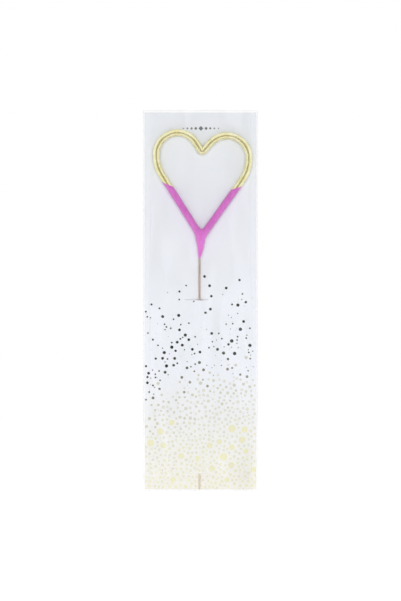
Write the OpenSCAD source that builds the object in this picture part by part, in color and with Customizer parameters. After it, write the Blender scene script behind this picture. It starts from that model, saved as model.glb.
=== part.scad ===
// A heart-shaped hand sparkler as it is sold. Its wire is threaded through two slits in a
// presentation card, and the card stands in a clear film sleeve that is open at the top.
// X runs across the card, Y from the front to the back, and Z up the wire.
// The origin is the cut lower end of the wire.

/* [Wire] */
// Diameter of the copper-coated steel wire
wire_d = 1.6; // [1.2:0.1:2.2]
// Height at which the wire bends from the stem into the left arm
stem_h = 213.9; // [180:0.1:260]
// Radius of the bend at the foot of each arm
foot_r = 8; // [5:0.5:12]
// How much lower the right arm's bend lies than the left arm's
foot_step = 2.4; // [0:0.1:4]
// Length of the wire's free end, beside the stem
tail_l = 7.5; // [5:0.5:10]
// Gap between the free end and the stem
tail_gap = 0.05; // [0.02:0.01:0.3]

/* [Heart] */
// Reach of the wire to the left of the stem
left_reach = 36.7; // [30:0.1:42]
// Height of the left lobe's centre above the stem
left_rise = 70.5; // [60:0.1:84]
// Radius of the left lobe
left_lobe_r = 18.2; // [14:0.1:21]
// Radius of the flatter bend below the left lobe
left_side_r = 32; // [22:0.5:36]
// Straight length between those two bends
left_side_run = 0.6; // [0.5:0.1:6]
// Radius of the right lobe
right_lobe_r = 18.6; // [14:0.1:22]
// Radius of the flatter bend below the right lobe
right_side_r = 32; // [22:0.1:36]
// Straight length between those two bends
right_side_run = 0.7; // [0.5:0.1:6]
// Radius of the wire's inner side in the cleft's tight bend
cleft_inner_r = 0.7; // [0.65:0.05:1]
// Gap that each coated run keeps from the cleft's middle, where the two nearly meet
cleft_gap = 0.1; // [0.05:0.05:0.15]
// Straight length that falls from the left lobe into the cleft
cleft_fall = 7.8; // [4.5:0.1:12]
// Slope of that length in degrees
cleft_fall_slope = 57.8; // [45:0.1:62]
// Straight length that climbs from the cleft to the right lobe
cleft_climb = 8.9; // [4.5:0.1:12]
// Slope of that length in degrees
cleft_climb_slope = 48.2; // [45:0.1:62]

/* [Coats] */
// Diameter of the grey sparkler compound on the wire
compound_d = 5.2; // [4:0.1:5.8]
// Thickness of the gold coat on the loop
gold_t = 0.4; // [0.15:0.05:0.45]
// Thickness of the pink dip coat on the two arms
pink_t = 0.45; // [0.3:0.05:0.9]
// How much thicker the pink coat is at the foot of the arms
foot_swell = 0.3; // [0.1:0.05:0.8]
// Length of arm over which that swelling runs out
swell_l = 12; // [8:1:20]
// How far the coat fills the crotch, up along the arms
crotch_l = 1.5; // [0:0.5:6]
// Height of the pink coat's upper edge on the left arm, above the foot of that arm
left_edge_h = 45.1; // [30:0.1:50]
// Height of the pink coat's upper edge on the right arm, above the foot of the left arm
right_edge_h = 42.2; // [28:0.1:46]
// Slope of the left edge in degrees, down to the right
left_edge_slope = 22; // [0:1:30]
// Slope of the right edge in degrees, down to the left
right_edge_slope = 17; // [0:1:30]
// Length of the pink taper below the foot of the left arm
taper_l = 17.1; // [13:0.1:22]
// Thickness of the pink coat at the tip of the taper
tip_t = 0.15; // [0.1:0.01:0.4]
// Gap between each layer and the one below it
coat_fit = 0.02; // [0.01:0.01:0.05]

/* [Card] */
// Thickness of the card
card_t = 0.4; // [0.25:0.05:0.6]
// Width of card that shows to the left of the heart
card_left = 7; // [4:0.1:20]
// Width of card that shows to the right of the heart
card_right = 3.5; // [3:0.05:20]
// Height of card above the heart
card_top = 14.3; // [8:0.1:40]
// Distance from the tip of the pink taper down to the upper slit
upper_slit_drop = 35.6; // [30:0.1:60]
// Height of the lower slit above the card's bottom edge
lower_slit_h = 13.8; // [10:0.1:30]
// Reach of both slits to the left of the wire
slit_left = 12.5; // [8:0.5:16]
// Reach of both slits to the right of the wire
slit_right = 7.5; // [6:0.5:16]
// Height of the cut that each slit leaves
slit_h = 0.5; // [0.3:0.1:1]
// Length over which the tongue at a slit widens into the card's full bow
tongue_l = 34; // [20:1:44]
// Gap between the sparkler and the card
card_gap = 0.3; // [0.2:0.05:0.6]

/* [Sleeve] */
// Thickness of the film
film_t = 0.06; // [0.04:0.01:0.12]
// Gap between the film and what it covers
film_gap = 0.3; // [0.2:0.05:0.6]
// Gap between the card's edge and the side seam
side_gap = 0.7; // [0.5:0.05:2]
// Width of the side and bottom seams
seam_w = 0.6; // [0.4:0.1:4]
// How far the film's rounded side reaches in from the side seam
round_w = 6.2; // [5:0.1:8]
// Height of the film above the card
mouth_h = 2; // [1:0.5:12]
// Drop of the sleeve's floor below the card
floor_drop = 0.25; // [0.1:0.05:1]
// Further drop of the floor to the bottom seam
floor_fold = 0.25; // [0.1:0.05:1]

/* [Hidden] */

// Sides of each swept tube, and the angle that one step of a bend may turn
wire_sides = 12;
coat_sides = 16;
bend_step = 12;

// Profile of the coat's taper: shares of its height, and of its growth from tip to foot
taper_shares = [
  [0, 0], [0.13, 0.12], [0.3, 0.2], [0.45, 0.3], [0.6, 0.5], [0.75, 0.77], [0.88, 0.95], [1, 1]
];
// Where the compound begins, as a share of the taper's height
compound_start_share = 0.3;

wire_r = wire_d / 2;
compound_r = compound_d / 2;
gold_r = compound_r + gold_t;
pink_r = compound_r + pink_t;
swollen_r = pink_r + foot_swell;
cleft_r = wire_r + cleft_inner_r;
// How far each coated run is cut back in the cleft, where the two would run into each other
cleft_cut = gold_r + cleft_gap - cleft_r;
tail_x = wire_d + tail_gap;
tip_z = stem_h - taper_l;

up = 90;
down = -90;
function along(heading) = [cos(heading), sin(heading)];
function left_of(heading) = [-sin(heading), cos(heading)];

// Centres of the bends, in the X-Z plane. Each lobe hangs from the one before it.
left_foot = [-foot_r, stem_h];
right_foot = [tail_x + foot_r, stem_h - foot_step];
left_lobe = [left_lobe_r - left_reach, stem_h + left_rise];
left_side = [left_side_r - left_reach, left_lobe[1] - left_side_run];
cleft = left_lobe + (left_lobe_r + cleft_r) * left_of(-cleft_fall_slope)
  + cleft_fall * along(-cleft_fall_slope);
right_lobe = cleft - (cleft_r + right_lobe_r) * left_of(cleft_climb_slope)
  + cleft_climb * along(cleft_climb_slope);
right_side = right_lobe + [right_lobe_r - right_side_r, -right_side_run];

// The bends in the order in which the wire runs: centre, radius and turn, 1 to the left, -1 to the right
bends = [
  [left_foot, foot_r, 1],
  [left_side, left_side_r, -1],
  [left_lobe, left_lobe_r, -1],
  [cleft, cleft_r, 1],
  [right_lobe, right_lobe_r, -1],
  [right_side, right_side_r, -1],
  [right_foot, foot_r, 1]
];
last = len(bends) - 1;
cleft_index = 3;

// Heading of the straight length that leaves bend a and meets bend b without a kink
function heading(a, b) =
  let(d = b[0] - a[0])
  atan2(d[1], d[0]) - asin((b[2] * b[1] - a[2] * a[1]) / norm(d));
headings = [up, for (i = [0:last - 1]) heading(bends[i], bends[i + 1]), down];

// Where the wire touches bend i at a heading, and the angle that it turns there
function touch(i, h) = bends[i][0] - bends[i][2] * bends[i][1] * left_of(h);
function turned(i) =
  let(turn = bends[i][2], change = turn * (headings[i + 1] - headings[i]))
  turn * (change - 360 * floor(change / 360));

// A station is a point on the wire's line and the heading there
function bend_stations(i) =
  let(n = ceil(abs(turned(i)) / bend_step))
  [for (k = [0:n]) let(h = headings[i] + turned(i) * k / n) [touch(i, h), h]];

// The stations in the cleft also carry the cut, and the coats are whole again a short way up each side
cleft_run = cleft_cut * tan(turned(cleft_index) / 2);
function cleft_side(h, run) = [touch(cleft_index, h) + run * along(h), h];
cleft_stations = [
  cleft_side(headings[cleft_index], -cleft_run),
  for (s = bend_stations(cleft_index)) [s[0], s[1], cleft_cut],
  cleft_side(headings[cleft_index + 1], cleft_run)
];
function loop_stations(first, final) = [
  for (i = [first:final]) each (i == cleft_index ? cleft_stations : bend_stations(i))
];

// Heights in the taper at which the coat's thickness is set
taper_z = [for (s = taper_shares) tip_z + s[0] * taper_l];
tail_z = right_foot[1] - tail_l;
// Lower end of the coat on the wire's free end
tail_coat_z = tail_z - tip_t;
function stem_stations(low) = [for (z = taper_z) if (z >= low && z < stem_h) [[0, z], up]];
function tail_stations(low) = [
  for (k = [len(taper_z) - 1:-1:0])
    let(z = taper_z[k])
    if (z > low && z < right_foot[1]) [[tail_x, z], down]
];

// Radius of a coat at height z, from its radius at the tip, at the foot and on the arms
function coat_r(z, at_tip, at_foot, on_arm) =
  lookup(z, [
    for (s = taper_shares) [tip_z + s[0] * taper_l, at_tip + s[1] * (at_foot - at_tip)],
    [stem_h + swell_l, on_arm]
  ]);
function pink_radius(z) = coat_r(z, wire_r + tip_t, swollen_r, pink_r);
function compound_radius(z) = coat_r(z, wire_r + coat_fit, compound_r, compound_r);

// The card is at its full depth behind the coats from here up
deep_z = tip_z + taper_shares[3][0] * taper_l;
upper_slit_z = tip_z - upper_slit_drop;
heart_top = max(left_lobe[1] + left_lobe_r, right_lobe[1] + right_lobe_r) + gold_r;
card_x0 = -left_reach - gold_r - card_left;
card_x1 = right_lobe[0] + right_lobe_r + gold_r + card_right;
card_h = heart_top + card_top;
// Distance from the wire's line to the middle of the card, beside the stem and behind the heart
stem_depth = wire_r + card_gap + card_t / 2;
heart_depth = swollen_r + card_gap + card_t / 2;
function smooth(t) = let(s = min(1, max(0, t))) s * s * (3 - 2 * s);
function depth_share(z) = smooth((z - upper_slit_z) / (deep_z - upper_slit_z));
function card_depth(z) = stem_depth + (heart_depth - stem_depth) * depth_share(z);

// The corners of the tube's section at a station. A coat, but not the wire, is cut back in the cleft.
function ring(station, r, sides) =
  let(side = left_of(station[1]), is_cut = len(station) > 2 && r > wire_r + coat_fit)
  let(reach = is_cut ? r - station[2] : r)
  [for (k = [0:sides - 1])
    let(a = 360 * k / sides, p = station[0] + min(r * cos(a), reach) * side)
    [p[0], r * sin(a), p[1]]];

// An arm is a station at its foot, the height of the pink coat's upper edge and the edge's slope
left_arm = [[touch(0, headings[1]), headings[1]], stem_h + left_edge_h, left_edge_slope];
right_arm = [[touch(last, headings[last]), headings[last]], stem_h + right_edge_h, -right_edge_slope];
function arm_point(arm, z) =
  let(dir = along(arm[0][1]))
  arm[0][0] + (z - arm[0][0][1]) / dir[1] * dir;
function arm_station(arm, z) = [arm_point(arm, z), arm[0][1]];

// The tube's section slid along an arm to the pink coat's upper edge, plus a gap
function edge_ring(arm, r, gap) =
  let(dir = along(arm[0][1]), centre = arm_point(arm, arm[1]), normal = [sin(arm[2]), cos(arm[2])])
  [for (p = ring(arm[0], r, coat_sides))
    let(t = (gap - ([p[0], p[2]] - centre) * normal) / (dir * normal))
    p + t * [dir[0], 0, dir[1]]];

// A closed tube through a list of rings, with a bore where inner rings are given
module swept(rings, bore = []) {
  sides = len(rings[0]);
  n = len(rings);
  m = len(bore);
  inside = n * sides;
  function walls(count, start, turn) = [
    for (i = [0:count - 2], k = [0:sides - 1])
      let(a = start + i * sides + k, b = start + i * sides + (k + 1) % sides, c = b + sides, d = a + sides)
      each (turn ? [[a, c, b], [a, d, c]] : [[a, b, c], [a, c, d]])
  ];
  function cap(a0, b0, turn) = [
    for (k = [0:sides - 1])
      let(k2 = (k + 1) % sides)
      each (turn
        ? [[a0 + k, b0 + k2, a0 + k2], [a0 + k, b0 + k, b0 + k2]]
        : [[a0 + k, a0 + k2, b0 + k2], [a0 + k, b0 + k2, b0 + k]])
  ];
  ends = m > 0
    ? [each cap(0, inside, true), each cap((n - 1) * sides, inside + (m - 1) * sides, false)]
    : [[for (k = [sides - 1:-1:0]) k], [for (k = [0:sides - 1]) (n - 1) * sides + k]];
  bore_walls = m > 0 ? walls(m, inside, true) : [];
  polyhedron(
    [for (r = [each rings, each bore]) each r],
    [each walls(n, 0, false), each bore_walls, each ends]
  );
}

// Rings of one radius, one at each station
function even_rings(stations, r, sides) = [for (s = stations) ring(s, r, sides)];

// The wire's own outline, grown by a gap for the bore of what covers it
module wire_shape(gap) {
  stations = [
    [[0, 0], up],
    each loop_stations(0, last),
    [[tail_x, tail_z - gap], down]
  ];
  swept(even_rings(stations, wire_r + gap, wire_sides));
}

module wire() {
  color("rosybrown") wire_shape(0);
}

// The compound's two halves, which meet in the cleft and lie side by side on the stem
module compound_shape(gap) {
  start_z = tip_z + compound_start_share * taper_l;
  left = [each stem_stations(start_z), each loop_stations(0, cleft_index)];
  right = [each loop_stations(cleft_index, last), each tail_stations(tail_coat_z)];
  for (half = [left, right])
    swept([for (s = half) ring(s, compound_radius(s[0][1]) + gap, coat_sides)]);
}

module compound() {
  color("dimgray") difference() {
    compound_shape(0);
    wire_shape(coat_fit);
  }
}

// The gold tube's wall at one radius, from one upper edge of the pink coat over to the other
function gold_rings(r) = [
  edge_ring(left_arm, r, coat_fit),
  each even_rings(loop_stations(1, last - 1), r, coat_sides),
  edge_ring(right_arm, r, coat_fit)
];

module gold_coat() {
  color("khaki") swept(gold_rings(gold_r), gold_rings(compound_r + coat_fit));
}

// The coat that fills the corner where the two arms meet the stem
module crotch() {
  corners = [
    [left_arm[0][0] + crotch_l * along(left_arm[0][1]), pink_r],
    [right_arm[0][0] - crotch_l * along(right_arm[0][1]), pink_r],
    [[tail_x / 2, right_foot[1]], swollen_r]
  ];
  hull() for (c = corners) translate([c[0][0], 0, c[0][1]]) sphere(c[1], $fn = coat_sides);
}

// Rings of the pink coat's radius at the height of each station
function pink_rings(stations) = [for (s = stations) ring(s, pink_radius(s[0][1]), coat_sides)];

// Two tapered tubes, of which the right one runs on past the wire's free end to the tip
module pink_coat() {
  swell_end = stem_h + swell_l;
  left = [each stem_stations(tip_z), each bend_stations(0), arm_station(left_arm, swell_end)];
  right = [
    arm_station(right_arm, swell_end),
    each bend_stations(last),
    each tail_stations(tail_coat_z),
    [[tail_x, tail_coat_z], down],
    [[0, tip_z], down]
  ];
  color("orchid") difference() {
    union() {
      swept([each pink_rings(left), edge_ring(left_arm, pink_r, 0)]);
      swept([edge_ring(right_arm, pink_r, 0), each pink_rings(right)]);
      crotch();
    }
    compound_shape(coat_fit);
    wire_shape(coat_fit);
  }
}

// The card's grid. Columns are close together where the slits are.
side_shares = [0, 0.25, 0.5, 0.75];
left_slit_shares = [1, 0.72, 0.44, 0.2, 0];
right_slit_shares = [0.25, 0.6, 1];
card_columns = [
  for (s = side_shares) card_x0 + s * (-slit_left - card_x0),
  for (s = left_slit_shares) -s * slit_left,
  for (s = right_slit_shares) s * slit_right,
  for (k = [len(side_shares) - 1:-1:0]) card_x1 + side_shares[k] * (slit_right - card_x1)
];
first_slit_column = len(side_shares);
last_slit_column = first_slit_column + len(left_slit_shares) + len(right_slit_shares) - 1;

lower_slit = [lower_slit_h - slit_h / 2, lower_slit_h + slit_h / 2];
upper_slit = [upper_slit_z - slit_h / 2, upper_slit_z + slit_h / 2];
tongue_shares = [0.2, 0.45, 0.7, 1];
rise_shares = [0.15, 0.3, 0.45, 0.6, 0.75, 0.9, 1];
// Heights at which the card and the film change their depth
rise_z = [for (s = rise_shares) upper_slit[1] + s * (deep_z - upper_slit[1])];
card_rows = [
  0,
  each lower_slit,
  for (s = tongue_shares) lower_slit[1] + s * tongue_l,
  for (k = [len(tongue_shares) - 1:-1:0]) upper_slit[0] - tongue_shares[k] * tongue_l,
  each upper_slit,
  each rise_z,
  card_h
];

// Between the slits the card bows forward, past the wire. The tongue at each slit is as wide
// as the slit, and further off the bow spreads over the card's full width.
function cosine(t) = t >= 1 ? 0 : pow(cos(90 * t), 2);
function tongue(x) = cosine(x < 0 ? -x / slit_left : x / slit_right);
function bow(x) = cosine(x < 0 ? x / card_x0 : x / card_x1);
function card_y(x, z) =
  let(inside = min(z - lower_slit[0], upper_slit[1] - z) - slit_h / 2, spread = smooth(inside / tongue_l))
  inside <= 0
    ? card_depth(z)
    : card_depth(z) - 2 * stem_depth * ((1 - spread) * tongue(x) + spread * bow(x));

// A closed sheet between a front and a back grid of points, both given row by row. The cells
// of the grid for which is_open says so are left out.
module sheet(front, back, open_cells) {
  rows = len(front);
  columns = len(front[0]);
  count = rows * columns;
  function at(r, c) = r * columns + c;
  function is_open(r, c) =
    r < 0 || c < 0 || r >= rows - 1 || c >= columns - 1
    || len([for (o = open_cells) if (r == o[0] && c >= o[1] && c < o[2]) 1]) > 0;
  cells = [for (r = [0:rows - 2], c = [0:columns - 2]) if (!is_open(r, c)) [r, c]];
  faces = [for (q = cells) let(a = at(q[0], q[1]), b = a + 1, d = a + columns, e = d + 1) each [
    [a, d, e], [a, e, b],
    [count + a, count + e, count + d], [count + a, count + b, count + e]
  ]];
  function wall(a, b) = [[a, b, count + b], [a, count + b, count + a]];
  walls = [for (q = cells) let(r = q[0], c = q[1]) each [
    if (is_open(r - 1, c)) each wall(at(r, c), at(r, c + 1)),
    if (is_open(r + 1, c)) each wall(at(r + 1, c + 1), at(r + 1, c)),
    if (is_open(r, c - 1)) each wall(at(r + 1, c), at(r, c)),
    if (is_open(r, c + 1)) each wall(at(r, c + 1), at(r + 1, c + 1))
  ]];
  polyhedron([for (row = [each front, each back]) each row], [each faces, each walls]);
}

module card() {
  front = [for (z = card_rows) [for (x = card_columns) [x, card_y(x, z) - card_t / 2, z]]];
  back = [for (z = card_rows) [for (x = card_columns) [x, card_y(x, z) + card_t / 2, z]]];
  lower_row = 1;
  upper_row = 3 + 2 * len(tongue_shares);
  color("aliceblue") sheet(front, back, [
    [lower_row, first_slit_column, last_slit_column],
    [upper_row, first_slit_column, last_slit_column]
  ]);
}

// The sleeve's stations: height, inner face of the front film and inner face of the back film
floor_y = stem_depth;
front_y = -stem_depth - card_t / 2 - film_gap;
heart_front_y = -swollen_r - film_gap;
function back_film_y(z) = card_depth(z) + card_t / 2 + film_gap;
function front_film_y(z) = front_y + (heart_front_y - front_y) * depth_share(z);
sleeve_rows = [
  [-floor_drop - floor_fold - seam_w, floor_y, floor_y],
  [-floor_drop - floor_fold, floor_y, floor_y],
  [-floor_drop, front_y, back_film_y(0)],
  for (z = [upper_slit_z, each rise_z, card_h + mouth_h]) [z, front_film_y(z), back_film_y(z)]
];
// In its two floor rows the film's outer face lies lower than its inner one, by its thickness
floor_rows = [1, 2];
function film_z(i, thick) = sleeve_rows[i][0] - (len(search(i, floor_rows)) > 0 ? thick : 0);

seam_x0 = card_x0 - side_gap;
seam_x1 = card_x1 + side_gap;
round_steps = 5;
face_steps = 4;

// One row of the front film: the left seam, the rounded side, the flat face and the same again.
// thick is zero on the inner face.
function front_film_row(i, thick) =
  let(
    z = film_z(i, thick),
    seam_y = sleeve_rows[i][2] - thick,
    lift = sleeve_rows[i][2] - sleeve_rows[i][1],
    half = [
      for (k = [0:round_steps])
        let(a = 90 * k / round_steps)
        [(round_w + thick) * cos(a) - round_w, seam_y - lift * sin(a)]
    ]
  )
  [
    [seam_x0 - seam_w, seam_y, z],
    for (p = half) [seam_x0 - p[0], p[1], z],
    for (k = [1:face_steps - 1])
      [seam_x0 + round_w + (seam_x1 - seam_x0 - 2 * round_w) * k / face_steps, seam_y - lift, z],
    for (k = [round_steps:-1:0]) [seam_x1 + half[k][0], half[k][1], z],
    [seam_x1 + seam_w, seam_y, z]
  ];

module sleeve_front() {
  rows = [0:len(sleeve_rows) - 1];
  color("lightcyan", 0.3) sheet(
    [for (i = rows) front_film_row(i, film_t)],
    [for (i = rows) front_film_row(i, 0)],
    []
  );
}

module sleeve_back() {
  rows = [0:len(sleeve_rows) - 1];
  ends = [seam_x0 - seam_w, seam_x1 + seam_w];
  color("lightcyan", 0.3) sheet(
    [for (i = rows) [for (x = ends) [x, sleeve_rows[i][2], film_z(i, 0)]]],
    [for (i = rows) [for (x = ends) [x, sleeve_rows[i][2] + film_t, film_z(i, film_t)]]],
    []
  );
}

wire();
compound();
gold_coat();
pink_coat();
card();
sleeve_front();
sleeve_back();
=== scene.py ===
import math
import random

import bmesh
import bpy
from mathutils import Matrix, Vector, noise


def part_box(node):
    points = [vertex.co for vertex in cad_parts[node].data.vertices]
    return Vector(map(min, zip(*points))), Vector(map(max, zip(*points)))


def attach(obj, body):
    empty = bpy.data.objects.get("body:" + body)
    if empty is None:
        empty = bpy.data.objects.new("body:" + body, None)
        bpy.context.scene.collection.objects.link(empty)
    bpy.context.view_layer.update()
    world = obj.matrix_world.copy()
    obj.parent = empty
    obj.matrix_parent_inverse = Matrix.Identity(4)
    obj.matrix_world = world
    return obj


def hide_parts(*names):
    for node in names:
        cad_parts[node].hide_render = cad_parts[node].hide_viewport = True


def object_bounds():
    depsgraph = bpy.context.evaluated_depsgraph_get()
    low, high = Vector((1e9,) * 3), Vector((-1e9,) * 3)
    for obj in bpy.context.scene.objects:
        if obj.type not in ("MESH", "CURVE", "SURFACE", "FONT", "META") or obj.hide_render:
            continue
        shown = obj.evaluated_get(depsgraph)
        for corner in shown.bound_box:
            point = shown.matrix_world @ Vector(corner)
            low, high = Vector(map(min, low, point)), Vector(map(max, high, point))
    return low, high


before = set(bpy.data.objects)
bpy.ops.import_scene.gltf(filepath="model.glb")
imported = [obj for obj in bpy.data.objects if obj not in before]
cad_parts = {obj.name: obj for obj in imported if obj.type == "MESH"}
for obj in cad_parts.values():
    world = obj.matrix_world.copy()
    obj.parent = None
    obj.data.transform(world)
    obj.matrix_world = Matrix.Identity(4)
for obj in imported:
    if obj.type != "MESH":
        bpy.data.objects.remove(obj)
cad_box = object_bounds()

MM = 0.001

# The wire and its route round the heart
WIRE_R = 0.8
STEM_H = 213.9
FOOT_R = 8
FOOT_STEP = 2.4
TAIL_X = 1.65
TAIL_L = 7.5
LEFT_REACH = 36.7
LEFT_RISE = 70.5
LEFT_LOBE_R = 18.2
LEFT_SIDE_R = 32
LEFT_SIDE_RUN = 0.6
RIGHT_LOBE_R = 18.6
RIGHT_SIDE_R = 32
RIGHT_SIDE_RUN = 0.7
CLEFT_R = 1.5
CLEFT_FALL = 7.8
CLEFT_CLIMB = 8.9
FALL_HEADING = math.radians(-57.8)
CLIMB_HEADING = math.radians(48.2)

# The coats
GOLD_R = 3
PINK_R = 3.05
SWOLLEN_R = 3.35
SWELL_L = 12
CROTCH_L = 1.5
TIP_R = 0.95
TAPER_L = 17.1
TIP_Z = STEM_H - TAPER_L
# Length over which the coat's end thins out into the wire
FADE_L = 1.6
TAPER_SHARES = (
    (0, 0), (0.13, 0.12), (0.3, 0.2), (0.45, 0.3), (0.6, 0.5), (0.75, 0.77), (0.88, 0.95), (1, 1)
)
# Height and slope of the pink coat's upper edge on the left and the right arm
EDGES = ((259.0, math.radians(22)), (256.1, math.radians(-17)))
# How far the gold coat runs on under the pink one
EDGE_TUCK = 0.4
# Length past the cleft's bend over which the gold coat grows uneven
CLEFT_EVEN_L = 5
# A section of the gold coat as near as this to the cleft's middle counts as lying in it
CLEFT_MIDDLE = 0.05
# Corners round each tube, and the spacing of the coats' sections
WIRE_SIDES = 20
GOLD_SIDES = 36
PINK_SIDES = 28
GOLD_STEP = 0.8
PINK_STEP = 1.5
# Size of the grid on which the pink coat's parts are fused
FUSE_SIZE = 0.3

# The card
CARD_T = 0.4
CARD_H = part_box("card")[1].z / MM
CARD_X0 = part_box("card")[0].x / MM
CARD_X1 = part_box("card")[1].x / MM
SLIT_LEFT = 12.5
SLIT_RIGHT = 7.5
UPPER_SLIT_Z = 161.2
LOWER_SLIT_Z = 13.8
# Height of a slit's cut on the front face, and what is left of it on the back face
CUT_H = 0.65
CUT_GAP = 0.02
# Depth, middle and half width of the dent that the wire presses into the upper slit's edge
DENT = 0.55
DENT_X = 1
DENT_W = 2.4
TONGUE_L = 34
# Depth of the card's middle beside the stem and behind the heart, and the height where that begins
STEM_DEPTH = 1.3
HEART_DEPTH = 3.85
DEEP_Z = TIP_Z + TAPER_SHARES[3][0] * TAPER_L
# Spacing of the card's grid across and up
CARD_STEPS = (1.6, 2)

# The confetti: its upper end, its margin to the card's edges and the tries for each dot
CONFETTI_TOP = 190
CONFETTI_MARGIN = 0.3
TRIES = 400

# The film sleeve
FILM_T = 0.06
FILM_GAP = 0.3
SIDE_GAP = 0.7
SEAM_X0 = CARD_X0 - SIDE_GAP
SEAM_X1 = CARD_X1 + SIDE_GAP
SEAM_W = 0.6
ROUND_W = 6.2
# Width beside a seam over which the back film's slack grows
BACK_EASE_W = 8
# Length over which the film's slack grows up from the floor, and that of the finer rows at the mouth
FOOT_L = 14
RIM_L = 14
MOUTH_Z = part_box("sleeve_front")[1].z / MM
# Heights of the bottom seam's lower and upper edge and of the sleeve's floor
FLOOR_ROWS = (-1.1, -0.5, -0.25)

# The photograph's frame: its width and height in pixels, and the millimetres that one pixel shows
PHOTO = (401, 601)
PIXEL = 0.848
WIRE_PX = 199.5
CARD_FOOT_PX = 489.6
CAMERA_DISTANCE = 2600


# Materials


class Tree:
    """A material's nodes. Each call adds one node, sets or links its inputs, and returns it."""

    def __init__(self, name):
        self.material = bpy.data.materials.new(name)
        self.material.use_nodes = True
        self.tree = self.material.node_tree
        self.tree.nodes.clear()

    def add(self, kind, inputs=(), **settings):
        made = self.tree.nodes.new("ShaderNode" + kind)
        for key, value in settings.items():
            setattr(made, key, value)
        for key, value in dict(inputs).items():
            if isinstance(value, bpy.types.NodeSocket):
                self.tree.links.new(value, made.inputs[key])
            else:
                made.inputs[key].default_value = value
        return made

    def place(self, scale=(1, 1, 1)):
        """The point in the model, in metres, stretched by scale."""
        point = self.add("TexCoord").outputs["Object"]
        return self.add("Mapping", {"Vector": point, "Scale": scale}).outputs["Vector"]

    def noise(self, size, detail=2, stretch=(1, 1, 1), roughness=0.5):
        """Noise from 0 to 1 whose lumps are about size millimetres."""
        scaled = self.place(stretch)
        inputs = {"Vector": scaled, "Scale": 1 / (size * MM), "Detail": detail, "Roughness": roughness}
        return self.add("TexNoise", inputs).outputs["Fac"]

    def ramp(self, value, low, high, to_low=0.0, to_high=1.0):
        """value from low to high, spread over to_low to to_high and held there past them."""
        inputs = {"Value": value, 1: low, 2: high, 3: to_low, 4: to_high}
        return self.add("MapRange", inputs).outputs["Result"]

    def mix(self, share, first, second):
        """Two colours mixed, the second one by share."""
        made = self.add("Mix", data_type="RGBA")
        for key, value in ((0, share), (6, first), (7, second)):
            if isinstance(value, bpy.types.NodeSocket):
                self.tree.links.new(value, made.inputs[key])
            else:
                made.inputs[key].default_value = value
        return made.outputs[2]

    def math(self, operation, first, second):
        return self.add("Math", {0: first, 1: second}, operation=operation).outputs[0]

    def bump(self, height, depth, strength=1.0, normal=None):
        """A bump map whose height of 1 stands depth millimetres high."""
        inputs = {"Height": height, "Distance": depth * MM, "Strength": strength}
        if normal is not None:
            inputs["Normal"] = normal
        return self.add("Bump", inputs).outputs["Normal"]

    def finish(self, shader):
        self.add("OutputMaterial", {"Surface": shader.outputs[0]})
        return self.material


def linear(r, g, b):
    """A colour given as the 0 to 255 values that a picture shows, as Blender's linear colour."""
    def one(value):
        share = value / 255
        return share / 12.92 if share <= 0.04045 else ((share + 0.055) / 1.055) ** 2.4
    return (one(r), one(g), one(b), 1)


def gold_paint():
    """Pale metallic paint with fine flakes, a grainy surface and slightly duller patches."""
    t = Tree("gold_paint")
    patches = t.noise(5, 3)
    colour = t.mix(t.ramp(patches, 0.35, 0.65), linear(240, 233, 178), linear(251, 247, 210))
    flakes = t.add("TexVoronoi", {"Vector": t.place(), "Scale": 1 / (0.3 * MM)})
    flake = t.ramp(flakes.outputs["Color"], 0.2, 1, 0, 0.22)
    colour = t.mix(flake, colour, linear(218, 204, 136))
    grain = t.bump(t.noise(0.45, 3), 0.03, 0.6)
    normal = t.bump(t.noise(2.2, 2), 0.1, 0.5, grain)
    rough = t.ramp(t.noise(1.1, 3), 0.3, 0.7, 0.16, 0.3)
    return t.finish(t.add("BsdfPrincipled", {
        "Base Color": colour, "Metallic": 1.0, "Roughness": rough, "Normal": normal
    }))


def pink_dip():
    """Orchid dip coat: satin, with faint streaks along it and a fine orange-peel surface."""
    t = Tree("pink_dip")
    streaks = t.noise(3.5, 3, (1, 1, 0.3))
    colour = t.mix(t.ramp(streaks, 0.3, 0.7), linear(192, 85, 178), linear(209, 108, 197))
    # Painted highlight: the taper and the swollen foot are painted a lighter magenta.
    height = t.add("SeparateXYZ", {"Vector": t.place()}).outputs["Z"]
    colour = t.mix(t.ramp(height, 0.209, 0.222, 0.7, 0), colour, linear(222, 112, 208))
    specks = t.ramp(t.noise(0.4, 2), 0.62, 0.75, 0, 0.35)
    colour = t.mix(specks, colour, linear(222, 146, 212))
    peel = t.bump(t.noise(0.9, 3), 0.06, 0.6)
    rough = t.ramp(t.noise(2, 2), 0.3, 0.7, 0.34, 0.48)
    return t.finish(t.add("BsdfPrincipled", {
        "Base Color": colour, "Roughness": rough, "Normal": peel, "Specular IOR Level": 0.6,
        "Sheen Weight": 0.6, "Sheen Roughness": 0.3, "Coat Weight": 0.6, "Coat Roughness": 0.3
    }))


def coppered_wire():
    """Drawn steel wire with a thin copper coat, scored along its length. The coat is painted pale at
    the lower slit, a painted glare, and the cut end is bare steel."""
    t = Tree("coppered_wire")
    scores = t.noise(0.12, 3, (1, 1, 0.03))
    colour = t.mix(t.ramp(scores, 0.35, 0.65), linear(186, 162, 146), linear(212, 190, 173))
    tarnish = t.ramp(t.noise(7, 3), 0.5, 0.75, 0, 0.5)
    colour = t.mix(tarnish, colour, linear(168, 150, 136))
    height = t.add("SeparateXYZ", {"Vector": t.place()}).outputs["Z"]
    # Painted glare: the coat is painted pale towards the lower end, at the lower slit.
    painted_glare = t.ramp(height, 15 * MM, 24 * MM, 1, 0)
    colour = t.mix(painted_glare, colour, linear(237, 224, 206))
    cut = t.ramp(height, 0.03 * MM, 0.06 * MM, 1, 0)
    colour = t.mix(cut, colour, linear(150, 150, 150))
    normal = t.bump(scores, 0.01, 0.7)
    rough = t.ramp(tarnish, 0, 0.5, 0.34, 0.55)
    return t.finish(t.add("BsdfPrincipled", {
        "Base Color": colour, "Metallic": 0.75, "Roughness": rough, "Normal": normal
    }))


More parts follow.
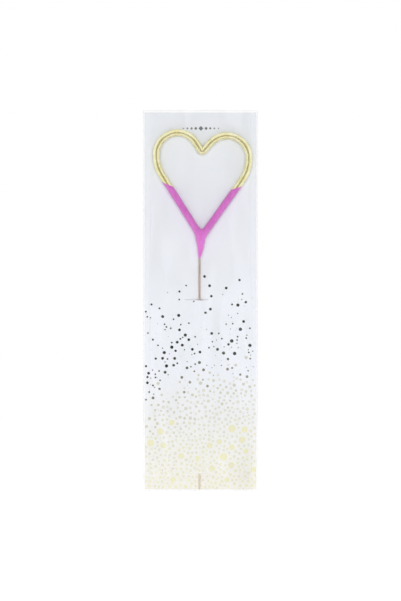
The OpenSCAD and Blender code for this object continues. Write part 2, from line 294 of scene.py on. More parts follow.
def grey_compound():
    """The dried, slightly crumbly sparkler compound, which the coats hide."""
    t = Tree("grey_compound")
    colour = t.mix(t.noise(0.8, 4), linear(116, 116, 118), linear(150, 150, 150))
    normal = t.bump(t.noise(0.5, 4), 0.15, 0.8)
    return t.finish(t.add("BsdfPrincipled", {
        "Base Color": colour, "Roughness": 0.85, "Normal": normal
    }))


def card_stock():
    """Smooth white card, a cool grey at the top and a warm white at the foot, with a plain back."""
    t = Tree("card_stock")
    height = t.add("SeparateXYZ", {"Vector": t.place()}).outputs["Z"]
    cool = t.ramp(height, 0.01, 0.1)
    colour = t.mix(cool, linear(235, 233, 227), linear(230, 233, 239))
    grey = t.ramp(height, 0.15, 0.23)
    colour = t.mix(grey, colour, linear(225, 228, 234))
    fibre = t.noise(0.5, 4, (1, 1, 0.6))
    colour = t.mix(t.ramp(fibre, 0.3, 0.7, 0, 0.06), colour, linear(205, 205, 205))
    facing = t.add("SeparateXYZ", {"Vector": t.add("NewGeometry").outputs["Normal"]})
    back = t.ramp(facing.outputs["Y"], 0.2, 0.5)
    colour = t.mix(back, colour, linear(226, 225, 221))
    normal = t.bump(fibre, 0.012, 0.6, t.bump(t.noise(6, 3), 0.05, 0.5))
    rough = t.ramp(back, 0, 1, 0.5, 0.8)
    return t.finish(t.add("BsdfPrincipled", {
        "Base Color": colour, "Roughness": rough, "Normal": normal, "Specular IOR Level": 0.4
    }))


def cut_edge_painted_shade():
    """The card's greyer inner layer, which shows where a slit's edge is crushed; its grey is partly
    painted shade along the slit. It is darker near the wire, a painted shadow, and paler at the lower
    slit, painted light that takes out the shade there.
    """
    t = Tree("cut_edge_painted_shade")
    # The edge's grey is partly the card's own inner tone and partly painted shade along the slit.
    colour = t.mix(t.noise(0.6, 3), linear(200, 202, 207), linear(216, 218, 223))
    place = t.add("SeparateXYZ", {"Vector": t.place()})
    # Painted shadow: darker beside the wire, where the wire and the tongue shade the slit.
    beside = t.math("ABSOLUTE", place.outputs["X"], 0.0)
    colour = t.mix(t.ramp(beside, 1.2 * MM, 4.6 * MM, 1, 0), colour, linear(170, 164, 167))
    # Painted light: the lower slit's edge is made paler to take out its shade.
    low = t.ramp(place.outputs["Z"], 50 * MM, 60 * MM, 1, 0)
    colour = t.mix(low, colour, linear(230, 229, 221))
    return t.finish(t.add("BsdfPrincipled", {"Base Color": colour, "Roughness": 0.9}))


def foil_print():
    """Hot-stamped foil dots. Each dot has its own tone, kept in the mesh: the foil's gold with a
    painted reflection, dark on the upper dots and pale on the lower ones.
    """
    t = Tree("foil_print")
    tone = t.add("Attribute", attribute_name="tone").outputs["Color"]
    grain = t.noise(0.3, 3)
    colour = t.mix(t.ramp(grain, 0.35, 0.65, 0, 0.06), tone, linear(170, 168, 150))
    return t.finish(t.add("BsdfPrincipled", {
        "Base Color": colour, "Roughness": t.ramp(grain, 0.3, 0.7, 0.3, 0.42),
        "Metallic": 0.1, "Normal": t.bump(grain, 0.01, 0.5)
    }))


def clear_film():
    """Thin clear film: it mirrors more the more it is turned away, and is faintly hazy in patches. Its
    welds and the edge of its mouth are milky."""
    t = Tree("clear_film")
    turned = t.add("LayerWeight", {"Blend": 0.5}).outputs["Facing"]
    mirror = t.ramp(t.math("POWER", turned, 5.0), 0, 1, 0.02, 0.8)
    haze = t.ramp(t.noise(38, 2, (1.6, 1, 0.7)), 0.52, 0.8, 0, 0.03)
    share = t.math("ADD", mirror, haze)
    clear = t.add("BsdfTransparent", {"Color": (1, 1, 1, 1)})
    ripple = t.bump(t.noise(9, 2, (1, 1, 0.5)), 0.12, 0.4)
    gloss = t.add("BsdfPrincipled", {
        "Base Color": (0.95, 0.96, 0.97, 1), "Metallic": 1.0, "Roughness": 0.08, "Normal": ripple
    })
    mixed = t.add("MixShader", {0: share, 1: clear.outputs[0], 2: gloss.outputs[0]})
    place = t.add("SeparateXYZ", {"Vector": t.place()})
    half = (SEAM_X1 - SEAM_X0) / 2
    aside = t.math("ABSOLUTE", t.math("SUBTRACT", place.outputs["X"], (SEAM_X0 + half) * MM), 0.0)
    weld = t.ramp(aside, (half - 0.1) * MM, (half + 0.2) * MM, 0, 0.08)
    foot = t.ramp(place.outputs["Z"], -0.6 * MM, -0.3 * MM, 0.08, 0)
    mouth = t.ramp(place.outputs["Z"], (MOUTH_Z - 0.6) * MM, (MOUTH_Z - 0.2) * MM, 0, 0.05)
    milky = t.math("MAXIMUM", t.math("MAXIMUM", weld, foot), mouth)
    milk = t.add("BsdfPrincipled", {"Base Color": linear(222, 224, 228), "Roughness": 0.4})
    return t.finish(t.add("MixShader", {0: milky, 1: mixed.outputs[0], 2: milk.outputs[0]}))


# The wire's route, in the X-Z plane. A station is a point on the wire's line and the heading there.


def along(heading):
    return Vector((math.cos(heading), math.sin(heading)))


def left_of(heading):
    return Vector((-math.sin(heading), math.cos(heading)))


def wire_bends():
    """The bends in the order in which the wire runs: centre, radius and turn, 1 to the left."""
    left_lobe = Vector((LEFT_LOBE_R - LEFT_REACH, STEM_H + LEFT_RISE))
    left_side = Vector((LEFT_SIDE_R - LEFT_REACH, left_lobe.y - LEFT_SIDE_RUN))
    cleft = left_lobe + (LEFT_LOBE_R + CLEFT_R) * left_of(FALL_HEADING)
    cleft += CLEFT_FALL * along(FALL_HEADING)
    right_lobe = cleft - (CLEFT_R + RIGHT_LOBE_R) * left_of(CLIMB_HEADING)
    right_lobe += CLEFT_CLIMB * along(CLIMB_HEADING)
    right_side = right_lobe + Vector((RIGHT_LOBE_R - RIGHT_SIDE_R, -RIGHT_SIDE_RUN))
    return [
        (Vector((-FOOT_R, STEM_H)), FOOT_R, 1),
        (left_side, LEFT_SIDE_R, -1),
        (left_lobe, LEFT_LOBE_R, -1),
        (cleft, CLEFT_R, 1),
        (right_lobe, RIGHT_LOBE_R, -1),
        (right_side, RIGHT_SIDE_R, -1),
        (Vector((TAIL_X + FOOT_R, STEM_H - FOOT_STEP)), FOOT_R, 1),
    ]


def heading_between(a, b):
    """Heading of the straight length that leaves bend a and meets bend b without a kink."""
    gap = b[0] - a[0]
    return math.atan2(gap.y, gap.x) - math.asin((b[2] * b[1] - a[2] * a[1]) / gap.length)


BENDS = wire_bends()
CLEFT_INDEX = 3
CLEFT = BENDS[CLEFT_INDEX][0]
UP = math.pi / 2
HEADINGS = [UP] + [heading_between(a, b) for a, b in zip(BENDS, BENDS[1:])] + [-UP]


def touch(i, heading):
    """The point where the wire's line has that heading in bend i."""
    centre, radius, turn = BENDS[i]
    return centre - turn * radius * left_of(heading)


def bend_stations(i, spacing):
    """Stations round bend i, about spacing apart and at most a few degrees."""
    radius, turn = BENDS[i][1:]
    angle = turn * ((turn * (HEADINGS[i + 1] - HEADINGS[i])) % (2 * math.pi))
    steps = math.ceil(max(abs(angle) * radius / spacing, abs(angle) / math.radians(5)))
    headings = [HEADINGS[i] + angle * k / steps for k in range(steps + 1)]
    return [(touch(i, h), h) for h in headings]


def filled(stations, spacing):
    """The stations with more between them where they lie more than spacing apart."""
    made = [stations[0]]
    for (a, _), (b, heading) in zip(stations, stations[1:]):
        steps = max(1, math.ceil((b - a).length / spacing))
        made += [(a.lerp(b, k / steps), heading) for k in range(1, steps + 1)]
    return made


def smooth(t):
    """A soft step from 0 at 0 to 1 at 1."""
    t = min(1, max(0, t))
    return t * t * (3 - 2 * t)


# Meshes


def piece(name, verts, faces, material, body, sharp=35):
    """A closed mesh given in millimetres, shaded smooth but for edges past sharp degrees."""
    mesh = bpy.data.meshes.new(name)
    mesh.from_pydata([Vector(v) * MM for v in verts], [], faces)
    return dressed(name, mesh, material, body, sharp)


def dressed(name, mesh, material, body, sharp=35):
    shell = bmesh.new()
    shell.from_mesh(mesh)
    bmesh.ops.recalc_face_normals(shell, faces=shell.faces)
    shell.to_mesh(mesh)
    shell.free()
    mesh.materials.append(material)
    mesh.shade_smooth()
    mesh.set_sharp_from_angle(angle=math.radians(sharp))
    made = bpy.data.objects.new(name, mesh)
    bpy.context.collection.objects.link(made)
    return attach(made, body)


def ring(station, radius, sides):
    """The corners of the tube's section at a station. radius is a length or a function of the place."""
    point, heading = station
    side = left_of(heading)
    made = []
    for k in range(sides):
        angle = 2 * math.pi * k / sides
        out = Vector((math.cos(angle) * side.x, math.sin(angle), math.cos(angle) * side.y))
        centre = Vector((point.x, 0, point.y))
        made.append(centre + (radius(centre, out) if callable(radius) else radius) * out)
    return made


def tube(rings):
    """Vertices and faces of a closed tube through rings of as many corners each."""
    sides = len(rings[0])
    verts = [corner for row in rings for corner in row]
    faces = []
    for r in range(len(rings) - 1):
        for k in range(sides):
            here, there = r * sides + k, r * sides + (k + 1) % sides
            faces.append((here, there, there + sides, here + sides))
    faces.append(tuple(range(sides)))
    faces.append(tuple(range(len(verts) - sides, len(verts))))
    return verts, faces


def joined(parts):
    """One list of vertices and one of faces from several (vertices, faces) pairs."""
    verts, faces = [], []
    for more_verts, more_faces in parts:
        faces += [tuple(i + len(verts) for i in face) for face in more_faces]
        verts += more_verts
    return verts, faces


def sheet(front, back, is_open=lambda row, column: False):
    """Vertices and faces of a closed sheet between two grids of points. Open cells are left out."""
    rows, columns = len(front), len(front[0])
    count = rows * columns
    verts = [corner for grid in (front, back) for row in grid for corner in row]

    def at(r, c):
        return r * columns + c

    def missing(r, c):
        return r < 0 or c < 0 or r >= rows - 1 or c >= columns - 1 or is_open(r, c)

    faces = []
    for r in range(rows - 1):
        for c in range(columns - 1):
            if missing(r, c):
                continue
            a, b, d, e = at(r, c), at(r, c + 1), at(r + 1, c), at(r + 1, c + 1)
            faces.append((a, b, e, d))
            faces.append((count + a, count + d, count + e, count + b))
            edges = (((-1, 0), a, b), ((1, 0), e, d), ((0, -1), d, a), ((0, 1), b, e))
            for (up, across), p, q in edges:
                if missing(r + up, c + across):
                    faces.append((p, count + p, count + q, q))
    return verts, faces


def spaced(stops, spacing):
    """Places from the first stop to the last, through each of them, at most spacing apart."""
    made = [stops[0]]
    for a, b in zip(stops, stops[1:]):
        steps = max(1, math.ceil((b - a) / spacing))
        made += [a + (b - a) * k / steps for k in range(1, steps + 1)]
    return made


# The sparkler


def make_wire(material):
    """The whole wire, with a slightly crushed cut at the lower end."""
    chamfer = 0.06
    stations = [(Vector((0, chamfer)), UP)]
    for i in range(len(BENDS)):
        stations += bend_stations(i, 2)
    stations.append((Vector((TAIL_X, BENDS[-1][0].y - TAIL_L)), -UP))
    rings = [ring((Vector((0, 0)), UP), WIRE_R - chamfer, WIRE_SIDES)]
    rings += [ring(s, WIRE_R, WIRE_SIDES) for s in filled(stations, 12)]
    made = piece("wire_drawn", *tube(rings), material, "sparkler")
    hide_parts("wire")


def arm(side):
    """An arm's station at its foot, and the point and normal of the pink coat's upper edge on it."""
    last = len(BENDS) - 1
    i, heading = (0, HEADINGS[1]) if side == 0 else (last, HEADINGS[last])
    foot = touch(i, heading)
    height, slope = EDGES[side]
    direction = along(heading)
    edge = foot + (height - foot.y) / direction.y * direction
    return (foot, heading), edge, Vector((math.sin(slope), math.cos(slope)))


def edge_ring(side, radius, gap, sides):
    """The tube's section slid along an arm to the pink coat's upper edge, plus a gap."""
    station, edge, normal = arm(side)
    direction = along(station[1])
    made = []
    for corner in ring(station, radius, sides):
        run = (gap - (Vector((corner.x, corner.z)) - edge).dot(normal)) / direction.dot(normal)
        made.append(corner + run * Vector((direction.x, 0, direction.y)))
    return made


def gold_radius(centre, out):
    """The gold coat's uneven thickness, which is even in the cleft's tight bend."""
    place = centre + GOLD_R * out
    free = smooth(((Vector((centre.x, centre.z)) - CLEFT).length - CLEFT_R) / CLEFT_EVEN_L)
    lumps = 0.1 * noise.noise(place / 6) + 0.05 * noise.noise(place / 2.2)
    return GOLD_R + free * lumps


def gold_ring(station):
    """The gold coat's section at a station. In the cleft its two runs meet in the middle."""
    point, heading = station
    across = along((HEADINGS[CLEFT_INDEX] + HEADINGS[CLEFT_INDEX + 1]) / 2)
    side = left_of(heading)
    gap, slope = abs((point - CLEFT).dot(across)), abs(side.dot(across))
    if gap < CLEFT_MIDDLE:
        reach = CLEFT_R
    else:
        reach = gap / slope if slope > 0 else math.inf
    made = []
    for corner in ring(station, gold_radius, GOLD_SIDES):
        past = (Vector((corner.x, corner.z)) - point).dot(side) - reach
        made.append(corner - max(0, past) * Vector((side.x, 0, side.y)))
    return made


def make_gold_coat(material):
    stations = []
    for i in range(1, len(BENDS) - 1):
        stations += bend_stations(i, GOLD_STEP)
    rings = [edge_ring(0, GOLD_R, -EDGE_TUCK, GOLD_SIDES)]
    rings += [gold_ring(s) for s in filled(stations, GOLD_STEP)]
    rings += [edge_ring(1, GOLD_R, -EDGE_TUCK, GOLD_SIDES)]
    made = piece("gold_coat_painted", *tube(rings), material, "sparkler")
    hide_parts("gold_coat")


def pink_radius(centre, _):
    """The pink coat's radius by its height: the taper, the swollen foot and the arms."""
    z = centre.z
    if z <= STEM_H:
        share = (z - TIP_Z) / TAPER_L
        for (low, at_low), (high, at_high) in zip(TAPER_SHARES, TAPER_SHARES[1:]):
            if share <= high:
                grown = at_low + (at_high - at_low) * (share - low) / (high - low)
                return TIP_R + grown * (SWOLLEN_R - TIP_R)
    return SWOLLEN_R + (PINK_R - SWOLLEN_R) * min(1, (z - STEM_H) / SWELL_L)


def crotch_hull():
    """A hull round three balls, which fills the corner between the arms and the stem."""
    left, right = arm(0)[0], arm(1)[0]
    balls = (
        (left[0] + CROTCH_L * along(left[1]), PINK_R),
        (right[0] - CROTCH_L * along(right[1]), PINK_R),
        (Vector((TAIL_X / 2, STEM_H - FOOT_STEP)), SWOLLEN_R),
    )
    shell = bmesh.new()
    for centre, radius in balls:
        place = Matrix.Translation((centre.x, 0, centre.y))
        bmesh.ops.create_uvsphere(shell, u_segments=24, v_segments=16, radius=radius, matrix=place)
    hull = bmesh.ops.convex_hull(shell, input=shell.verts)
    bmesh.ops.delete(shell, geom=hull["geom_interior"] + hull["geom_unused"], context="VERTS")
    shell.verts.index_update()
    made = [v.co.copy() for v in shell.verts], [tuple(v.index for v in f.verts) for f in shell.faces]
    shell.free()
    return made


def make_pink_coat(material):
    """The dip coat: two tubes and the filled crotch, fused, softened and made slightly uneven."""
    stem = [(Vector((0, TIP_Z - FADE_L)), UP)]
    stem += [(Vector((0, TIP_Z + share * TAPER_L)), UP) for share, _ in TAPER_SHARES]
    left = filled(stem + bend_stations(0, 1), PINK_STEP)
    tail_z = BENDS[-1][0].y - TAIL_L
    right = bend_stations(len(BENDS) - 1, 1)
    right += [(Vector((TAIL_X, tail_z)), -UP), (Vector((0, TIP_Z)), -UP)]
    left_rings = [ring(s, pink_radius, PINK_SIDES) for s in left]
    swell_end = []
    for side in (0, 1):
        station = arm(side)[0]
        run = (STEM_H + SWELL_L - station[0].y) / along(station[1]).y
        point = station[0] + run * along(station[1])
        swell_end.append(ring((point, station[1]), PINK_R, PINK_SIDES))
    left_rings += [swell_end[0], edge_ring(0, PINK_R, 0, PINK_SIDES)]
    right_rings = [edge_ring(1, PINK_R, 0, PINK_SIDES), swell_end[1]]
    right_rings += [ring(s, pink_radius, PINK_SIDES) for s in filled(right, PINK_STEP)]
    verts, faces = joined([tube(left_rings), tube(right_rings), crotch_hull()])
    mesh = bpy.data.meshes.new("pink_blank")
    mesh.from_pydata(verts, [], faces)
    blank = bpy.data.objects.new("pink_blank", mesh)
    bpy.context.collection.objects.link(blank)
    remesh = blank.modifiers.new("fuse", "REMESH")
    remesh.mode = "VOXEL"
    remesh.voxel_size = FUSE_SIZE
    soften = blank.modifiers.new("soften", "SMOOTH")
    soften.iterations = 6
    fused = bpy.data.meshes.new_from_object(blank.evaluated_get(bpy.context.evaluated_depsgraph_get()))
    bpy.data.objects.remove(blank)
    moved = []
    for place, normal in [(v.co.copy(), v.normal.copy()) for v in fused.vertices]:
        lumps = 0.12 * noise.noise(place / 7) + 0.04 * noise.noise(place / 2)
        moved.extend((place + lumps * normal) * MM)
    fused.vertices.foreach_set("co", moved)
    made = dressed("pink_coat_dipped", fused, material, "sparkler", 80)
    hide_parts("pink_coat")


# The card


def depth_share(z):
    """0 beside the stem and 1 behind the heart."""
    return smooth((z - UPPER_SLIT_Z) / (DEEP_Z - UPPER_SLIT_Z))


def card_depth(z):
    return STEM_DEPTH + (HEART_DEPTH - STEM_DEPTH) * depth_share(z)


def cosine(t):
    """A bell's side: 1 at 0, falling to 0 at 1 and past it."""
    return 0 if t >= 1 else math.cos(math.pi / 2 * t) ** 2


def card_y(x, z):
    """Depth of the middle of the card, which bows forward past the wire between its slits."""
    inside = min(z - LOWER_SLIT_Z, UPPER_SLIT_Z - z)
    if inside <= 0:
        return card_depth(z)
    spread = smooth(inside / TONGUE_L)
    tongue = cosine(-x / SLIT_LEFT if x < 0 else x / SLIT_RIGHT)
    bow = cosine(x / CARD_X0 if x < 0 else x / CARD_X1)
    return card_depth(z) - 2 * STEM_DEPTH * ((1 - spread) * tongue + spread * bow)


def make_card(material, edge_core_and_shade):
    columns = spaced([CARD_X0, -SLIT_LEFT, 0, SLIT_RIGHT, CARD_X1], CARD_STEPS[0])
    cuts = [z + side * CUT_H / 2 for z in (LOWER_SLIT_Z, UPPER_SLIT_Z) for side in (-1, 1)]
    rows = spaced([0] + cuts + [CARD_H], CARD_STEPS[1])

    def in_slit(x, z, reach=0.0):
        near = min(abs(z - LOWER_SLIT_Z), abs(z - UPPER_SLIT_Z)) < CUT_H / 2 + reach
        return near and -SLIT_LEFT - reach < x < SLIT_RIGHT + reach

    def in_cut(row, column):
        return in_slit((columns[column] + columns[column + 1]) / 2, (rows[row] + rows[row + 1]) / 2)

    def crushed(x, z):
        """Height on the back face, where the tongue's edges reach on to close the slits."""
        if not -SLIT_LEFT - 0.01 < x < SLIT_RIGHT + 0.01:
            return z
        if z == cuts[1]:
            return cuts[0] + CUT_GAP
        return cuts[3] - CUT_GAP if z == cuts[2] else z

    def dented(x, z):
        """Height on the front face, whose edge gives way at the wire."""
        return z - DENT * math.exp(-(((x - DENT_X) / DENT_W) ** 2)) if z == cuts[2] else z

    front = [[(x, card_y(x, z) - CARD_T / 2, dented(x, z)) for x in columns] for z in rows]
    back = [[(x, card_y(x, z) + CARD_T / 2, crushed(x, z)) for x in columns] for z in rows]
    made = piece("card_stock", *sheet(front, back, in_cut), material, "card")
    # The slits' edge faces get the second material, which holds painted shade and a painted shadow at
    # the wire.
    made.data.materials.append(edge_core_and_shade)
    for face in made.data.polygons:
        if abs(face.normal.z) > 0.3 and in_slit(face.center.x / MM, face.center.z / MM, 0.05):
            face.material_index = 1
    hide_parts("card")


# The print on the card


def on_card(x, z, lift):
    return (x, card_y(x, z) - CARD_T / 2 - lift, z)


def dots(places, lift=0.04, sink=0.02, corners=None):
    """Thin domed discs on the card's face, one for each (x, z, radius). corners gives the number of
    corners of the first disc and of the others, which otherwise goes by their size."""
    parts = []
    for x, z, radius in places:
        sides = 10 if radius < 0.6 else 14 if radius < 1.4 else 24
        if corners:
            sides = corners[1] if parts else corners[0]
        turns = [2 * math.pi * k / sides for k in range(sides)]
        rim = [(x + radius * math.cos(a), z + radius * math.sin(a)) for a in turns]
        verts = [on_card(x, z, lift), on_card(x, z, -sink)] + [on_card(a, b, lift / 3) for a, b in rim]
        faces = []
        for k in range(sides):
            here, there = 2 + k, 2 + (k + 1) % sides
            faces += [(0, here, there), (1, there, here)]
        parts.append((verts, faces))
    return parts


def scatter(draw, count, radii, likely, taken, gap):
    """count random discs, clear of those taken. likely gives the chance of a place, from 0 to 1."""
    made = []
    for _ in range(count * TRIES):
        if len(made) == count:
            break
        radius = radii[0] + (radii[1] - radii[0]) * draw.random() ** 2
        margin = radius + CONFETTI_MARGIN
        x = draw.uniform(CARD_X0 + margin, CARD_X1 - margin)
        z = draw.uniform(margin, CONFETTI_TOP)
        at_cut = any(abs(z - cut) < radius + 1 for cut in (LOWER_SLIT_Z, UPPER_SLIT_Z))
        if at_cut and -SLIT_LEFT - radius < x < SLIT_RIGHT + radius:
            continue
        if draw.random() > likely(x, z):
            continue
        if any((x - a) ** 2 + (z - b) ** 2 < (radius + r + gap) ** 2 for a, b, r in taken):
            continue
        taken.append((x, z, radius))
        made.append((x, z, radius))
    return made


def tide(x):
    """Height at which the dark dots give way to the pale ones. It is low at the left edge."""
    return 94 - 48 * math.exp((CARD_X0 - x) / 20) + 5 * noise.noise(Vector((x / 25, 3, 0)))


def patchy(x, z, size, seed):
    """0 to 1 in soft patches of that size."""
    return smooth(0.5 + 1.2 * noise.noise(Vector((x / size, z / size, seed))))


def make_confetti(material):
    draw = random.Random(11)
    taken = []

    def falling(x, z):
        height = (z - tide(x)) / (182 - tide(x))
        if not -0.04 < height < 1:
            return 0
        patches = 0.35 + 0.65 * patchy(x, z, 13, 1)
        return (1 - height) ** 0.8 * smooth((height + 0.06) / 0.34) * patches

    def shore(x, z):
        return math.exp(-(((z - tide(x) + 11) / 20) ** 2)) * (0.2 + 0.8 * patchy(x, z, 16, 2))

    def heap(x, z):
        return smooth((tide(x) + 8 - z) / 60) * (0.6 + 0.4 * patchy(x, z, 20, 3))

    def low(x, z):
        return smooth((62 - z) / 12) * smooth((z - 5) / 4)

    pale_big = scatter(draw, 19, (2.3, 3.3), low, taken, 3)
    dark = scatter(draw, 42, (1.15, 1.5), falling, taken, 2.2)
    dark += scatter(draw, 58, (0.7, 1.1), falling, taken, 1.2)
    dark += scatter(draw, 46, (0.4, 0.65), falling, taken, 0.8)
    grey = scatter(draw, 60, (0.2, 0.32), falling, taken, 0.5)
    olive = scatter(draw, 82, (0.95, 1.5), shore, taken, 1)
    fine = scatter(draw, 330, (1.05, 1.5), heap, taken, 0.9)
    fine += scatter(draw, 100, (0.5, 0.8), heap, taken, 0.6)
    specks = scatter(draw, 18, (0.28, 0.42), heap, taken, 0.4)

    # The tones are the foil's gold with a painted reflection: near black on the dots high up, olive
    # near the tide and pale gold below it.
    painted_dark_reflection, moss, ash = linear(20, 20, 18), linear(160, 158, 134), linear(150, 150, 150)
    reed, straw, cream = linear(206, 204, 186), linear(220, 220, 211), linear(235, 233, 194)

    def toned(first, second, share):
        share = min(1, max(0, share))
        return [a + (b - a) * share for a, b in zip(first, second)]

    tones = [toned(cream, straw, draw.uniform(0, 0.3)) for _ in pale_big]
    tones += [toned(moss, painted_dark_reflection, (z - tide(x)) / 32 + draw.uniform(0, 0.25)) for x, z, _ in dark]
    tones += [ash for _ in grey]
    tones += [
        toned(straw, reed, (z - tide(x) + 42) / 46 + draw.uniform(-0.25, 0.25)) for x, z, _ in olive
    ]
    tones += [toned(cream, straw, 0.25 + z / 90 + draw.uniform(-0.25, 0.25)) for x, z, _ in fine]
    tones += [moss for _ in specks]
    places = pale_big + dark + grey + olive + fine + specks
    printed_dots("confetti_print", dots(places), tones, material)


def make_crest(material):
    """A plain ornament at the top of the card: a lozenge with a row of smaller dots on each side."""
    middle, height, pitch = 1.2, 306.5, 3.5
    places = [(middle, height, 2.1)]
    for k in range(1, 5):
        places += [(middle + side * (0.9 + k * pitch), height, 1.35 - 0.2 * k) for side in (-1, 1)]
    tones = [linear(112, 114, 118)] * len(places)
    printed_dots("crest_print", dots(places, corners=(4, 12)), tones, material)


def printed_dots(name, parts, tones, material):
    """One piece of print on the card. Each part keeps its tone in the mesh."""
    made = piece(name, *joined(parts), material, "card", 80)
    tone = made.data.attributes.new("tone", "FLOAT_COLOR", "POINT")
    values = [channel for part, colour in zip(parts, tones) for _ in part[0] for channel in colour]
    tone.data.foreach_set("color", values)


# The film sleeve


def back_film_y(z):
    return card_depth(z) + CARD_T / 2 + FILM_GAP


def front_film_y(z):
    low = -STEM_DEPTH - CARD_T / 2 - FILM_GAP
    return low + (-SWOLLEN_R - FILM_GAP - low) * depth_share(z)


def crease(x, z, start, end, width):
    """Height from 0 to 1 of a soft ridge along a straight line, fading towards its end."""
    line = Vector(end) - Vector(start)
    offset = Vector((x, z)) - Vector(start)
    along_line = offset.dot(line) / line.length_squared
    across = abs(offset.x * line.y - offset.y * line.x) / line.length
    if not -0.2 < along_line < 1.3:
        return 0
    ridge = math.exp(-((across / width) ** 2))
    return ridge * smooth(1.3 - along_line) * smooth((along_line + 0.2) / 0.3)


def slack(x, z):
    """How far the front film stands off its straight line, in millimetres, always outwards."""
    broad = 0.5 + 0.5 * noise.noise(Vector((x / 30, z / 40, 5)))
    narrow = 0.5 + 0.5 * noise.noise(Vector((x / 11 + z / 60, z / 34, 9)))
    made = 1.6 * broad + 0.3 * narrow
    top_left = crease(x, z, (CARD_X0, CARD_H + 0.4), (CARD_X0 + 9, CARD_H - 5.6), 0.8)
    top_right = crease(x, z, (CARD_X1, CARD_H + 0.4), (CARD_X1 - 9, CARD_H - 7), 0.8)
    return made + 0.45 * (top_left + top_right)


def film_columns():
    """(x, share) across the front film: share is 0 at a seam and 1 on the flat face."""
    steps = 14
    turn = [math.pi / 2 * k / steps for k in range(steps + 1)]
    left = [(SEAM_X0 + ROUND_W * (1 - math.cos(a)), math.sin(a), math.cos(a)) for a in turn]
    right = [(SEAM_X1 - (x - SEAM_X0), share, edge) for x, share, edge in reversed(left)]
    first, last = SEAM_X0 + ROUND_W, SEAM_X1 - ROUND_W
    flat = spaced([first, first + 8, last - 8, last], 2.2)
    return left + [(x, 1, 0) for x in flat[1:-1]] + right


def make_film(material):
    columns = film_columns()
    top = MOUTH_Z
    heights = spaced([2, UPPER_SLIT_Z, DEEP_Z, top - RIM_L], 4)
    heights += spaced([top - RIM_L, top], 0.8)[1:]
    middle = (SEAM_X0 + SEAM_X1) / 2

    def front_row(z, front_y, seam_y, thick, drop):
        row = [(SEAM_X0 - SEAM_W, seam_y - thick, z - drop)]
        for x, share, edge in columns:
            proud = slack(x, z) * share * smooth(z / FOOT_L)
            out = math.copysign(edge * thick, x - middle)
            row.append((x + out, seam_y - (seam_y - front_y) * share - proud - thick, z - drop))
        row.append((SEAM_X1 + SEAM_W, seam_y - thick, z - drop))
        return row

    def front_face(thick):
        rows = [front_row(FLOOR_ROWS[0], STEM_DEPTH, STEM_DEPTH, thick, 0)]
        rows.append(front_row(FLOOR_ROWS[1], STEM_DEPTH, STEM_DEPTH, thick, thick))
        rows.append(front_row(FLOOR_ROWS[2], front_film_y(0), back_film_y(0), thick, thick))
        return rows + [front_row(z, front_film_y(z), back_film_y(z), thick, 0) for z in heights]

    def back_face(thick):
        low = [(FLOOR_ROWS[0], STEM_DEPTH, 0), (FLOOR_ROWS[1], STEM_DEPTH, thick)]
        low.append((FLOOR_ROWS[2], back_film_y(0), thick))
        ends = [SEAM_X0 - SEAM_W, SEAM_X1 + SEAM_W]
        eased = [SEAM_X0 + BACK_EASE_W, SEAM_X1 - BACK_EASE_W]
        across = spaced([ends[0], SEAM_X0] + eased + [SEAM_X1, ends[1]], 4)

        def proud(x, z):
            inner = smooth(min(x - SEAM_X0, SEAM_X1 - x) / BACK_EASE_W) * smooth(z / FOOT_L)
            return 0.5 * inner * (0.5 + 0.5 * noise.noise(Vector((x / 24, z / 40, 20))))

        rows = [[(x, y + thick, z - drop) for x in across] for z, y, drop in low]
        return rows + [[(x, back_film_y(z) + thick + proud(x, z), z) for x in across] for z in heights]

    front = piece("film_front", *sheet(front_face(FILM_T), front_face(0)), material, "sleeve", 60)
    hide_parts("sleeve_front")
    back = piece("film_back", *sheet(back_face(0), back_face(FILM_T)), material, "sleeve", 60)
    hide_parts("sleeve_back")


# The stage


def white_to_sight(t):
    """1 for rays of the camera and those mirrored or passed on towards it, else 0."""
    path = t.add("LightPath")
    seen = t.math("MAXIMUM", path.outputs["Is Camera Ray"], path.outputs["Is Glossy Ray"])
    return t.math("MAXIMUM", seen, path.outputs["Is Transmission Ray"])


def plane(name, corners, material):
    mesh = bpy.data.meshes.new(name)
    mesh.from_pydata(corners, [], [(0, 1, 2, 3)])
    mesh.materials.append(material)
    made = bpy.data.objects.new(name, mesh)
    bpy.context.collection.objects.link(made)
    return made


def make_floor():
    """A white floor that throws light up on the object and keeps its shadow. Farther off it only
    glows, so that the lamps leave no bright pools there."""
    t = Tree("floor_white")
    near, far = 0.6, 1.6
    distance = t.add("VectorMath", {0: t.place()}, operation="LENGTH").outputs["Value"]
    diffuse = t.add("BsdfDiffuse", {"Color": t.ramp(distance, near, far, 0.35, 0)})
    seen = t.ramp(distance, near, far, 0.88, 1)
    glow = t.add("Emission", {"Strength": t.ramp(white_to_sight(t), 0, 1, 0.75, seen)})
    material = t.finish(t.add("AddShader", {0: diffuse.outputs[0], 1: glow.outputs[0]}))
    z, half = cad_box[0].z - 0.02 * MM, 8
    corners = [(-half, -half, z), (half, -half, z), (half, half, z), (-half, half, z)]
    floor = plane("floor", corners, material)
    floor.visible_glossy = False


def make_flags():
    """Dark flags round the camera, which only mirrored rays see. They give the gold its dark middle."""
    t = Tree("flag_dark")
    material = t.finish(t.add("Emission", {"Color": (0.31, 0.28, 0.165, 1), "Strength": 1.0}))
    distance, low, high = 3.2, -1.2, 1.5
    for name, first, second in (("left", -26, -7.5), ("middle", -4, 4), ("right", 7.5, 26)):
        x0, x1 = (distance * math.tan(math.radians(angle)) for angle in (first, second))
        corners = [(x, -distance, z) for x, z in ((x0, low), (x1, low), (x1, high), (x0, high))]
        flag = plane("flag_" + name, corners, material)
        for kind in ("camera", "diffuse", "transmission", "shadow", "volume_scatter"):
            setattr(flag, "visible_" + kind, False)


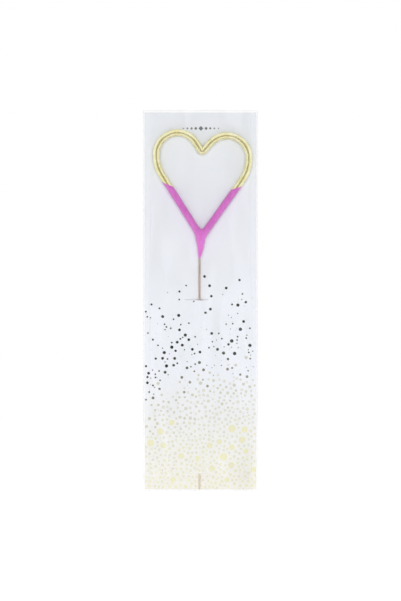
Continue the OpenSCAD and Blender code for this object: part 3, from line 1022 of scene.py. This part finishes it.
def lamp(name, place, size, power):
    """A square lamp aimed at half the card's height, which mirrored rays don't see."""
    data = bpy.data.lights.new(name, "AREA")
    data.shape = "SQUARE"
    data.size = size
    data.energy = power
    made = bpy.data.objects.new(name, data)
    bpy.context.collection.objects.link(made)
    target = Vector((0, 0, CARD_H * MM / 2))
    made.location = place
    made.rotation_euler = (target - Vector(place)).to_track_quat("-Z", "Y").to_euler()
    made.visible_glossy = False


def make_world():
    """Plain light from all round, and white where it is looked at."""
    world = bpy.data.worlds.new("world")
    bpy.context.scene.world = world
    world.use_nodes = True
    nodes, links = world.node_tree.nodes, world.node_tree.links
    nodes.clear()
    path = nodes.new("ShaderNodeLightPath")
    seen = path.outputs["Is Camera Ray"]
    for other in ("Is Glossy Ray", "Is Transmission Ray"):
        most = nodes.new("ShaderNodeMath")
        most.operation = "MAXIMUM"
        links.new(seen, most.inputs[0])
        links.new(path.outputs[other], most.inputs[1])
        seen = most.outputs[0]
    light, sight, mixed = (nodes.new("ShaderNodeBackground"), nodes.new("ShaderNodeBackground"),
                           nodes.new("ShaderNodeMixShader"))
    light.inputs["Strength"].default_value = 0.3
    sight.inputs["Strength"].default_value = 1.0
    for background in (light, sight):
        background.inputs["Color"].default_value = (1, 1, 1, 1)
    links.new(seen, mixed.inputs[0])
    links.new(light.outputs[0], mixed.inputs[1])
    links.new(sight.outputs[0], mixed.inputs[2])
    links.new(mixed.outputs[0], nodes.new("ShaderNodeOutputWorld").inputs["Surface"])


def make_camera():
    """The photograph's view: straight from the front, its middle on the card's."""
    data = bpy.data.cameras.new("camera")
    data.sensor_width = 36
    data.lens = data.sensor_width * CAMERA_DISTANCE / (PHOTO[1] * PIXEL)
    data.clip_end = 40
    made = bpy.data.objects.new("camera", data)
    bpy.context.collection.objects.link(made)
    x = (PHOTO[0] / 2 - WIRE_PX) * PIXEL
    z = (CARD_FOOT_PX - PHOTO[1] / 2) * PIXEL
    made.location = (x * MM, -CAMERA_DISTANCE * MM, z * MM)
    made.rotation_euler = (math.pi / 2, 0, 0)
    bpy.context.scene.camera = made


def make_stage():
    make_camera()
    make_world()
    make_floor()
    make_flags()
    lamp("key", (-0.6, -3, 0.55), 1, 28.8)
    lamp("fill", (0.6, -3, 0.5), 1, 25)
    lamp("rear", (0.9, 2.7, 1.2), 1, 34)
    bpy.context.scene.view_settings.view_transform = "Standard"


def main():
    make_stage()
    make_wire(coppered_wire())
    make_gold_coat(gold_paint())
    make_pink_coat(pink_dip())
    make_card(card_stock(), cut_edge_painted_shade())
    foil = foil_print()
    make_confetti(foil)
    make_crest(foil)
    make_film(clear_film())
    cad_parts["compound"].data.materials[0] = grey_compound()


main()
bpy.context.view_layer.update()
